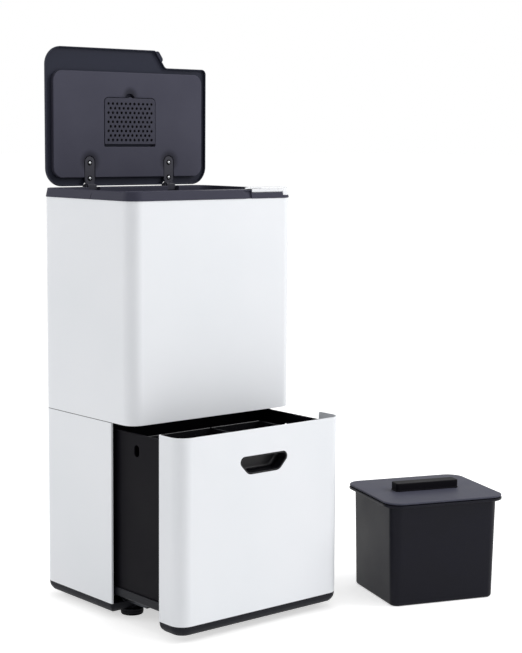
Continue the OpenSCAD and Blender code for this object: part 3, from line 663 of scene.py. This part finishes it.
def rim():
    """Graphite moulding on the upper casing: a leaning skin, a flat top, the well round the opening with
    a ledge for the bucket, pockets for the hinges, and a step for the corner plate."""
    low, high = box("top_rim")
    casing_low, casing_high = box("upper_casing")
    z0, z1, ledge = casing_high[2], high[2], casing_high[2] - 10
    opening = [(-180.5, -100, 22), (-180.5, 108, 22), (180.5, 108, 22), (180.5, -100, 22)]
    skin = wire([(2, z0), (-1.5, z0, 0.7), (2, z1, 1.6), (5, z1)])
    well = wire([(4, z0), (WALL, z0), (WALL, ledge, 0.5), (-5, ledge, 0.6), (-5, ledge + WALL, 0.8),
                 (0, ledge + WALL, 0.6), (0, z1, 1.6), (3, z1)])
    frame_ring = panel((rounded(plan(casing_low, casing_high, CORNER)), skin), (rounded(opening), well))
    spigot = tube(rounded(plan(casing_low + SHEET, casing_high - SHEET, CORNER - SHEET)),
                  flat_wall(low[2], z0 + 1, 3.0))
    made = shape("top_rim_moulding", frame_ring, spigot)

    flared = lambda corners, floor, edge: solid(rings(rounded(corners), wire(
        [(4, floor), (0, floor, 1.2), (0, z1 - edge), (-edge - 3, z1 + 3)])))
    pocket_floor = box("hinge_bracket_left")[0][2]
    pockets = [flared(plan((x - 13.5, 104), (x + 13.5, 137), 2.0), pocket_floor, 0.7)
               for x in hinge_places()]
    block_low, block_high = plate_block()
    back, out = block_high[1] + 0.3, 28.0
    slope = (PLATE_ENDS[1] - PLATE_ENDS[0]) / (block_high[1] - block_low[1])
    step = flared([(PLATE_ENDS[0] - out * slope - 0.3, block_low[1] - out, 1), (220, block_low[1] - out, 1),
                   (220, back, 1), (PLATE_ENDS[1] - 0.3, back, 6.3)], block_low[2], 0.5)
    x, y = casing_high[0] - 4.1, casing_low[1] + 4.1
    skirt_line = [(SKIRT_X - 0.3, y), (x, y, CORNER - 4.1), (x, back)]
    skirt = strip(skirt_line, path([(-12, z0 + 5), (-12, z1 + 3), (0, z1 + 3), (0, z0 + 5)]))
    # A finger hollow under the lid's tab. It deepens to the right, and leans back with the rim's skin
    flute = slab([(60, -154), (88, -154), (86, -143.3, 1.2), (83, -143.2, 2.5), (66, -146.9, 8)],
                 z0 - 2, z1 - 2, 0.3)
    flute[0][:, 1] += (flute[0][:, 2] - z0 - 2.5) * 0.3
    # The parting line of the skirt on the left, a slanting groove 0.8 mm wide
    groove = slab([(-20.6, z0 - 3), (-19.4, z0 - 3), (-24.4, z1 + 3), (-25.6, z1 + 3)], -200, -191.4, 0.05)
    carve(made, *pockets, step, skirt, flute)
    carve(made, groove, place=sideways)
    stand_for(made, "top_rim")


def corner_plate():
    """White moulded cap beside the lid's notch: a block with soft edges, a thin lip that runs on to its
    left under the lid's tab, and a turned-down side round the rim's corner."""
    low, high = box("corner_plate")
    (x0, y0, z0), (x1, y1, z1) = plate_block()
    outline = [(x0, y0, 1), (x1, y0, CORNER - 1), (x1, y1, 1.5), (PLATE_ENDS[1], y1, 6)]
    block = solid(rings(rounded(outline), wire([(4, z0), (2.2, z0), (2.2, z0 + 1.1), (0, z0 + 1.1, 0.4),
                                                (0, z1, 2.0), (4, z1)])))
    lip = slab([(low[0], y0, 0.8), (112.3, y0, 0.2), (112.3, y1, 0.2), (PLATE_ENDS[1], y1, 1)],
               z1 - 3, z1 - 0.3, 0.5)
    line = [(SKIRT_X, low[1]), (high[0], low[1], CORNER - 0.8), (high[0], y1)]
    side = strip(line, flat_wall(low[2], low[2] + SKIRT_TOP, 3.0, 0.4))
    stand_for(shape("corner_plate_cap", block, lip, side), "corner_plate")


# ---- lid ----

TONGUE = 10.0           # half width of a hinge strap's tongue and of its knuckle
KNUCKLE_GAP = 2.6       # room beside the knuckle in the lid's shell


def hinge_places():
    """Middles of the two hinges, left and right."""
    return [(low[0] + high[0]) / 2 for low, high in map(box, ("hinge_strap_left", "hinge_strap_right"))]


def lid_shell():
    """Graphite shell with a turned-down skirt that follows the notch and goes round the hinge knuckles."""
    low, high = lid_box("lid_shell")
    run = NOTCH_DEPTH * NOTCH_SLOPE / 2
    notches = []
    for x in hinge_places()[::-1]:
        for side, dy, r in ((1, 0, 1.6), (1, -6, 4), (-1, -6, 4), (-1, 0, 1.6)):
            notches.append((x + side * (TONGUE + KNUCKLE_GAP), high[1] + dy, r))
    corners = [(low[0], low[1], 35), (NOTCH_MID - run, low[1], NOTCH_R),
               (NOTCH_MID + run, low[1] + NOTCH_DEPTH, NOTCH_R), (high[0], low[1] + NOTCH_DEPTH, 10),
               (high[0], high[1], 35), *notches, (low[0], high[1], 35)]
    section = wire([(6, high[2] - WALL), (WALL, high[2] - WALL, 1.2), (WALL, low[2], 0.8), (0, low[2], 0.8),
                    (0, high[2], 3.4), (6, high[2])])
    # The finger tab: 24 by 12 mm with round ends, along the notch's slanted end
    along = np.array([2 * run, NOTCH_DEPTH]) / math.hypot(2 * run, NOTCH_DEPTH)
    over = np.array([along[1], -along[0]])
    middle = np.array([NOTCH_MID, low[1] + NOTCH_DEPTH / 2]) + 3 * over - 4 * along
    ends = [(*(middle + a * along + b * over), 5.9) for a, b in ((-12, 6), (12, 6), (12, -6), (-12, -6))]
    tab = slab(ends, high[2] - WALL, high[2] - 0.05, 0.7)
    stand_for(shape("lid_shell_moulding", solid(rings(rounded(corners), section)), tab, place=opened),
              "lid_shell")


COVER_HALF = 60.3       # half the width of the filter cover
TAB = (5.6, 3.14, 1.9)  # its finger tab: half widths at its foot and its tip, and how far it stands out
ARCH = (11.2, 8.25, 7.7)    # the finger arch over it, the same
SLOT = 5.1              # the gap on the cover's hinge side
RECESS = 3.0            # how deep the hinge straps lie in the liner
DIP = 2.2               # depth of the dishes in the liner's face
DISH_R = (27.0, 21.0)   # radii of those round the straps' tips, and of the one round the finger arch


def humped(low, high, front, rear, hump, r):
    """Corners of a rectangle with an arched hump in the middle of its front edge."""
    foot, tip, rise = hump
    return [(low[0], low[1], front), (-foot, low[1], 0.5), (-tip, low[1] - rise, r), (tip, low[1] - rise, r),
            (foot, low[1], 0.5), (high[0], low[1], front), (high[0], high[1], rear), (low[0], high[1], rear)]


def cup_edge(face, back, rim, thick, soft):
    """Section from a plate's lower face round a soft edge, up its outer wall and down to its upper face."""
    return wire([(1.5 * soft + 0.1, face), (0, face, soft), (0, rim, 0.4), (thick, rim, 0.4),
                 (thick, back, 0.4), (thick + 1, back)])


def cover_plan():
    """Lowest and highest corner of the filter cover's plate, without its tab and pins, on the shut lid."""
    low, high = lid_box("filter_cover")
    return np.array([-COVER_HALF, low[1] + TAB[2]]), np.array([COVER_HALF, high[1]])


def lid_liner():
    """Grey inner panel with soft edges: the framed window of the filter, a deep channel round each hinge
    strap with a pedestal under it, and shallow dishes round the straps' tips and the finger arch.

    A dish is DIP deep at its middle, and fades out by 1 - 3 t^2 + 2 t^3, where t is the distance from its
    middle over its radius."""
    low, high = lid_box("lid_liner")
    face, rear = low[2], high[1] - 8
    strap_low, strap_high = lid_box("hinge_strap_left")
    half, tip = (strap_high[0] - strap_low[0]) / 2 + 1.2, strap_low[1] - 1.2
    cover_low, cover_high = cover_plan()
    window = humped(cover_low - 1.1, cover_high + [1.1, SLOT], 9, 3, ARCH, 11)
    places = hinge_places()
    notches = [corner for x in places[::-1] for corner in
               ((x + half, rear, 0.8), (x + half, tip, half - 0.1), (x - half, tip, half - 0.1),
                (x - half, rear, 0.8))]
    outline = [(low[0], low[1], 20), (high[0], low[1], 20), (high[0], rear, 20), *notches,
               (low[0], rear, 20)]
    dishes = [(x, screw_places()[0], DISH_R[0]) for x in places] + [(0.0, cover_low[1] - 3.5, DISH_R[1])]
    spokes = np.linspace(0, 2 * np.pi, 40, endpoint=False)
    inner = [(x + r * k / 9 * math.cos(turn), y + r * k / 9 * math.sin(turn))
             for x, y, r in dishes for k in range(1, 11) for turn in spokes]
    body = panel((rounded(outline), cup_edge(face, face + WALL, high[2], WALL, 1.2)),
                 (rounded(window[::-1]), cup_edge(face, face + WALL, high[2], 2.0, 0.8)), inner=inner)
    fade = np.clip((face + WALL - body[0][:, 2]) / WALL, 0, 1)
    for x, y, r in dishes:
        t = np.minimum(np.hypot(body[0][:, 0] - x, body[0][:, 1] - y) / r, 1)
        body[0][:, 2] += DIP * fade * (1 - 3 * t ** 2 + 2 * t ** 3)
    floors = []
    for x in places:
        for a, end, z0, z1 in ((half + 1.6, rear - 0.8, face + 6, face + 8),
                               (half - 2.0, rear - 0.8, face + RECESS, face + 6.5)):
            floors.append(slab([(x - a, tip + half - a, a - 0.1), (x + a, tip + half - a, a - 0.1),
                                (x + a, end, 1), (x - a, end, 1)], z0, z1, 0.4))
        floors.append(slab(plan((x - TONGUE, rear - 3), (x + TONGUE, high[1]), 0.5, 3), face + RECESS,
                           face + RECESS + WALL, 0.4))
    stand_for(shape("lid_liner_panel", body, *floors, place=opened), "lid_liner")


HOLE_ROWS, HOLE_COLUMNS = 9, 11
HOLE_PITCH = (10.3, 8.76)
HOLE_R = 2.7
HOLE_SHIFT = 1.6        # how far the block of holes sits towards the hinge side


def filter_cover():
    """Grey grille with rows of holes set half a pitch apart by turns, a finger tab and two pins."""
    low, high = lid_box("filter_cover")
    cover_low, cover_high = cover_plan()
    middle = (cover_low[1] + cover_high[1]) / 2 + HOLE_SHIFT
    face, back = low[2], low[2] + 1.6
    rim_edge = cup_edge(face, back, high[2], 1.5, 0.5)
    hole_edge = wire([(0.6, face), (0, face, 0.35), (0, back), (0.3, back)])
    holes = []
    for row in range(HOLE_ROWS):
        count = HOLE_COLUMNS - row % 2
        for i in range(count):
            x = (i - (count - 1) / 2) * HOLE_PITCH[0]
            holes.append((bore(x, middle + (row - (HOLE_ROWS - 1) / 2) * HOLE_PITCH[1], HOLE_R), hole_edge))
    plate = panel((rounded(humped(cover_low, cover_high, 8, 2, TAB, 9.0)), rim_edge), *holes)
    pin = turned(wire([(0.5, -1.3), (1.5, -1.3, 0.3), (1.5, 1.3, 0.3), (0.5, 1.3)]), 24)
    pins = [moved(pin, side * (high[0] - 1.3), cover_high[1] - 2, face + 4.5, sideways)
            for side in (-1, 1)]
    stand_for(shape("filter_cover_grille", plate, *pins, place=opened), "filter_cover")


def hinge_straps():
    """Dipped steel straps: a leaf with a round tip and two dished holes, a tongue and a rolled knuckle."""
    for name in ("hinge_strap_left", "hinge_strap_right"):
        low, high = lid_box(name)
        x, half, tip = (low[0] + high[0]) / 2, (high[0] - low[0]) / 2, low[1]
        back = lid_box("lid_liner")[0][2] + RECESS
        outline = [(x - half, tip, half - 0.1), (x + half, tip, half - 0.1), (x + half, -12, 1.2),
                   (x + TONGUE, -12, 0.8), (x + TONGUE, -2, 0.3), (x - TONGUE, -2, 0.3),
                   (x - TONGUE, -12, 0.8), (x - half, -12, 1.2)]
        edge = wire([(0.8, back - 2), (0, back - 2, 0.5), (0, back, 0.3), (0.6, back)])
        dish = wire([(1.8, back - 2), (1.3, back - 2, 0.3), (0, back - 0.9, 0.3), (0, back), (0.4, back)])
        leaf = panel((rounded(outline), edge), *((bore(x, y, 4.0, 32), dish) for y in screw_places()))
        r = high[1]
        # Barrel of radius r with a flat front: each line lies at r from the pin
        barrel = rounded([(-0.734 * r, -r, 1.5), (0.734 * r, -r, 1.5), (1.361 * r, r, 0.99 * r),
                          (-1.361 * r, r, 0.99 * r)])
        outside = wire([(1.6, -TONGUE), (0, -TONGUE, 0.9), (0, TONGUE, 0.9), (1.6, TONGUE)])
        inside = wire([(0.5, -TONGUE), (0, -TONGUE, 0.3), (0, TONGUE, 0.3), (0.5, TONGUE)])
        knuckle = panel((barrel, outside), (bore(0, 0, 3.03, 32), inside))
        stand_for(shape(name + "_pressing", leaf, moved(knuckle, x, turn=sideways), place=opened), name)


def screw_places():
    """Distances of the strap screws from the hinge pin, towards the lid's front."""
    (_, y0, _), (_, y1, _) = lid_box("strap_screws")
    return y0 + 4, y1 - 4


def strap_screws():
    """Bright domed screws, each in a black cup washer whose dark ring is painted shade, standing in for the
    shadow in the strap's countersink.
    """
    face, top = lid_box("lid_liner")[0][2] + RECESS - 2, lid_box("strap_screws")[0][2]
    over = lambda points: points * [1, -1, -1]
    head = moved(screw_head(2.9, face - top - 0.3, 2.4), turn=over)
    places = [(x, y) for x in hinge_places() for y in screw_places()]
    stand_for(shape("strap_screw_heads", *(moved(head, x, y, face - 0.3) for x, y in places), place=opened),
              "strap_screws")
    # Painted shade: black washers darken the countersinks round the heads, where shadow falls
    section = path([(2.6, -0.9, 0.2), (4.6, -0.9, 0.2), (5.4, 0, 0.3), (4.4, 0.7, 0.5), (3.0, 0.3, 0.2)])
    ring = moved(tube(round_bar(32), section), turn=over)
    dress(shape("strap_screw_shade_washers", *(moved(ring, x, y, face) for x, y in places), place=opened),
          "strap_screws", slot="soft_rubber")


# ---- drawer ----

GRIP_LOW = (36.65, 17.0)    # the hand opening's lower corners: half width and radius
GRIP_HIGH = (68.5, 10.0)    # where its leaning sides would meet its upper edge, and the radius there
GRIP_FLANGE = 8.0           # how far the hand pocket's flange stands out behind the sheet


def grip_corners():
    """Corners of the hand opening, in X and Z."""
    low, high = box("handle_scoop")
    z0, z1 = low[2] + GRIP_FLANGE, high[2] - GRIP_FLANGE
    (a, ra), (b, rb) = GRIP_LOW, GRIP_HIGH
    return [(-a, z0, ra), (a, z0, ra), (b, z1, rb), (-b, z1, rb)]


def drawer_front():
    """White sheet that wraps round both corners to folded edges, with the hand opening punched in it."""
    low, high = box("drawer_front")
    line = [(low[0] + HEM, high[1]), (low[0], high[1], FOLD), (low[0], low[1], CORNER),
            (high[0], low[1], CORNER), (high[0], high[1], FOLD), (high[0] - HEM, high[1])]
    made = shape("drawer_front_sheet", strip(line, flat_wall(low[2], high[2], SHEET)))
    front = -low[1]
    punch = solid(rings(rounded(grip_corners()), [(0, front - 6), (0, front - 0.5), (-3.5, front + 3)]))
    carve(made, punch, place=upright)
    stand_for(made, "drawer_front")


def handle_scoop():
    """Black hand pocket: a flat lip in the opening, an edge that catches the light, and a rounded floor."""
    front, back = -box("drawer_front")[0][1], -box("handle_scoop")[1][1]
    section = wire([(9, back), (0.1, back, 7), (0.1, front - 3.2, 0.6), (-GRIP_FLANGE, front - 3.2, 0.4),
                    (-GRIP_FLANGE, front - SHEET, 0.4), (0.1, front - SHEET), (0.1, front - 0.3, 0.3),
                    (3.0, front - 0.5, 0.7), (3.4, back + 2, 6), (11, back + 2)])
    stand_for(shape("hand_pocket", solid(rings(rounded(grip_corners()), section)), place=upright),
              "handle_scoop")


def drawer_trim():
    """Black tray under the drawer front: the bowed plinth, with a lip that the sheet stands round."""
    low, high = box("drawer_trim")
    top = box("drawer_front")[0][2]
    section = wire([(14, low[2]), *bow(top, low[2]), (SHEET, top, 0.3), (SHEET, high[2], 0.5),
                    (11.5, high[2], 0.6), (11.5, low[2] + 3, 1), (15, low[2] + 3)])
    stand_for(shape("drawer_trim_moulding", solid(rings(rounded(plan(low, high, CORNER, 3)), section))),
              "drawer_trim")


FRAME_HALF = 183.0      # half the width of the front frame's back panel
FRAME_T = 3.0           # its walls
FRAME_RIBS = (-120, -75, 75, 120)   # its upright ribs, which keep clear of the hand pocket


def front_frame():
    """Moulded frame behind the sheet: a back panel, caps above and below, webs and upright ribs."""
    low, high = box("front_frame")
    parts = [slab(plan((-FRAME_HALF, high[1] - FRAME_T), (FRAME_HALF, high[1]), 0.4), low[2], high[2], 0.5)]
    for z in (low[2], high[2] - FRAME_T):
        parts.append(slab(plan(low, high, CORNER - SHEET, 0.5), z, z + FRAME_T, 0.7))
    webs = [(side * (FRAME_HALF - FRAME_T / 2), FRAME_T / 2, low[1] + 12) for side in (-1, 1)]
    webs += [(x, 1.0, low[1] + 2) for x in FRAME_RIBS]
    for x, half, start in webs:
        parts.append(slab(plan((x - half, start), (x + half, high[1] - 0.5), 0.4),
                          low[2] + 0.5, high[2] - 0.5))
    stand_for(shape("drawer_front_frame", *parts), "front_frame")


def drawer_pan():
    """Dipped steel pan: its sides are folded up along the tub's foot, and its floor has three windows."""
    low, high = box("drawer_chassis")
    line = [(low[0], high[2]), (low[0], low[2], 3.4), (high[0], low[2], 3.4), (high[0], high[2])]
    made = shape("drawer_pan_pressing", strip(line, flat_wall(-high[1], -low[1], WALL, 0.6)), place=upright)
    holes = [slab(plan((x - 30, low[1] + 22), (x + 30, high[1] - 28), 8), low[2] - 2, low[2] + 6, 0.2)
             for x in (-90, 0, 90)]
    stand_for(carve(made, *holes), "drawer_chassis")


SLOT_SHIFT = 5.9        # how far the tub's hand slot lies behind the cross divider
SLOT_DROP = 44          # how far its middle lies under the casing's top edge
SLOT_HALF = (7.5, 11)   # half its length and half its height
RIB_PLACE = 2.6         # how far a guide rib lies from its divider's middle
RIB_HALF = 0.7          # half its thickness
RIB_OUT = 3.9           # how far it stands out from the wall


def drawer_tub():
    """Black tub: drawn walls with a soft foot, a turned-out rim, a hand slot in each side, and the small
    ribs that guide the dividers."""
    low, high = box("drawer_tub")
    flange, r = 2.0, 20.0
    body = rounded(plan((low[0] + flange, low[1]), (high[0] - flange, high[1]), r))
    wide = rounded(plan(low, high, r))
    floor = low[2] + WALL
    grid = np.concatenate([
        rings(body, wire([(14, low[2]), (0, low[2], 5), (0, high[2] - 3)])),
        rings(wide, wire([(0.6, high[2] - 3), (0, high[2] - 3, 0.5), (0, high[2], 1.1), (2, high[2])])),
        rings(body, wire([(1, high[2]), (WALL, high[2], 0.9), (WALL, floor, 7), (24, floor)])),
    ])
    made = shape("drawer_tub_moulding", solid(grid))
    cross = box("cross_divider")
    y_cross, z = (cross[0][1] + cross[1][1]) / 2, box("lower_casing")[1][2] - SLOT_DROP
    middle, half = np.array([y_cross + SLOT_SHIFT, z]), np.array(SLOT_HALF)
    slot = slab(plan(middle - half, middle + half, 7.4), low[0] - 10, high[0] + 10, 0.1)
    carve(made, slot, place=sideways)
    inside, front, top = low[0] + flange + WALL, low[1] + WALL, z - 16
    ribs = []
    for side in (-1, 1):
        y = y_cross + side * RIB_PLACE
        ribs.append(slab(plan((inside - 0.3, y - RIB_HALF), (inside + RIB_OUT, y + RIB_HALF), 0.4),
                         floor - 0.5, top))
        for x in wing_places():
            x += side * RIB_PLACE
            ribs.append(slab(plan((x - RIB_HALF, front - 0.3), (x + RIB_HALF, front + RIB_OUT), 0.4),
                             floor - 0.5, top))
    stand_for(made, "drawer_tub")
    dress(shape("drawer_tub_ribs", *ribs), "drawer_tub")


# ---- dividers and bucket ----

WING_HALF = 1.5         # half the thickness of a divider that runs forward


def wing_places():
    """Middles of the two dividers that run forward."""
    low, high = box("divider_wings")
    return low[0] + WING_HALF, high[0] - WING_HALF


def dividers():
    """Charcoal plates with round top edges."""
    low, high = box("cross_divider")
    stand_for(shape("cross_divider_plate", slab(plan(low, high, 1.2), low[2], high[2], 1.2, 0.5)),
              "cross_divider")
    low, high = box("divider_wings")
    plates = [slab(plan((x - WING_HALF, low[1]), (x + WING_HALF, high[1]), 1.2), low[2], high[2], 1.2, 0.5)
              for x in wing_places()]
    stand_for(shape("divider_wing_plates", *plates), "divider_wings")


def bucket():
    """Black lift-out bucket with a soft foot and a flange that hangs on the rim's ledge."""
    low, high = box("waste_bucket")
    body = rounded(plan((low[0] + 9, low[1] + 8.5), (high[0] - 9, high[1] - 8.5), 14))
    floor, top = low[2] + WALL, high[2]
    cup = solid(rings(body, wire([(24, low[2]), (0, low[2], 8), (0, top - 0.2, 0.2), (WALL, top - 0.2, 0.6),
                                  (WALL, floor, 8), (28, floor)])))
    flange = tube(rounded(plan(low, high, 20.5)),
                  path([(0, top - WALL, 0.6), (0, top, 1.0), (11, top, 1.0), (11, top - WALL, 0.4)]))
    stand_for(shape("waste_bucket_moulding", cup, flange), "waste_bucket")


# ---- caddy ----

CADDY_TURN = math.radians(-20)
CADDY_MOUTH = (226.0, 193.0)    # under the flange
CADDY_TAPER = 4.5               # how much less it is on each side at the foot
CADDY_FLANGE = 12.0
CADDY_LID = (248.6, 215.6)
CADDY_R = (20, 31.3)            # radii of the corners of the mouth and of the lid
CADDY_GRIP = (135.0, 30.0)


def on_caddy(points):
    """Turns the caddy's parts about the vertical and carries them to where it stands."""
    x, y, z = np.moveaxis(points, -1, 0)
    c, s = math.cos(CADDY_TURN), math.sin(CADDY_TURN)
    middle = sum(box("caddy_tub")) / 2
    return np.stack([middle[0] + c * x - s * y, middle[1] + s * x + c * y, z], -1)


def about_zero(size, r):
    """Corners of a rectangle of some size round the origin."""
    half = np.array(size) / 2
    return plan(-half, half, r)


def caddy():
    """Black food caddy: a tapered tub with a flange, and a graphite lid with a step under its edge, a
    plug ring and a grip bar."""
    (_, _, z0), (_, _, z1) = box("caddy_tub")
    tub = wire([(CADDY_TAPER + 16, z0), (CADDY_TAPER, z0, 6), (0, z1 - 4.7, 1.2),
                (-CADDY_FLANGE, z1 - 4.7, 1.4), (-CADDY_FLANGE, z1, 1.0), (WALL, z1, 0.9),
                (CADDY_TAPER + WALL, z0 + WALL, 6), (CADDY_TAPER + 18, z0 + WALL)])
    stand_for(shape("caddy_tub_moulding", solid(rings(rounded(about_zero(CADDY_MOUTH, CADDY_R[0])), tub)),
                    place=on_caddy), "caddy_tub")

    low, high = box("caddy_lid")
    plate = solid(rings(rounded(about_zero(CADDY_LID, CADDY_R[1])),
                        wire([(8, high[2] - 5), (4.3, high[2] - 5, 0.5), (4.3, high[2] - 3.1, 0.4),
                              (0, high[2] - 3.1, 0.6), (0, high[2], 1.6), (8, high[2])])))
    plug = tube(rounded(about_zero(CADDY_MOUTH, CADDY_R[0])),
                path([(4.5, low[2], 0.5), (4.5, high[2] - 4.5), (7, high[2] - 4.5), (7, low[2], 0.5)]))
    stand_for(shape("caddy_lid_moulding", plate, plug, place=on_caddy), "caddy_lid")

    low, high = box("caddy_handle")
    bar = solid(rings(rounded(about_zero(CADDY_GRIP, 6)),
                      wire([(3, low[2]), (0, low[2], 0.3), (0, low[2] + 1.8, 0.6), (1.1, low[2] + 2.2, 0.4),
                            (0.9, high[2], 1.8), (5, high[2])])))
    stand_for(shape("caddy_grip_bar", bar, place=on_caddy), "caddy_handle")


for build in (base_tray, feet, casings, rear_screws, rim, corner_plate, lid_shell, lid_liner, filter_cover,
              hinge_straps, strap_screws, drawer_front, handle_scoop, drawer_trim, front_frame, drawer_pan,
              drawer_tub, dividers, bucket, caddy):
    build()
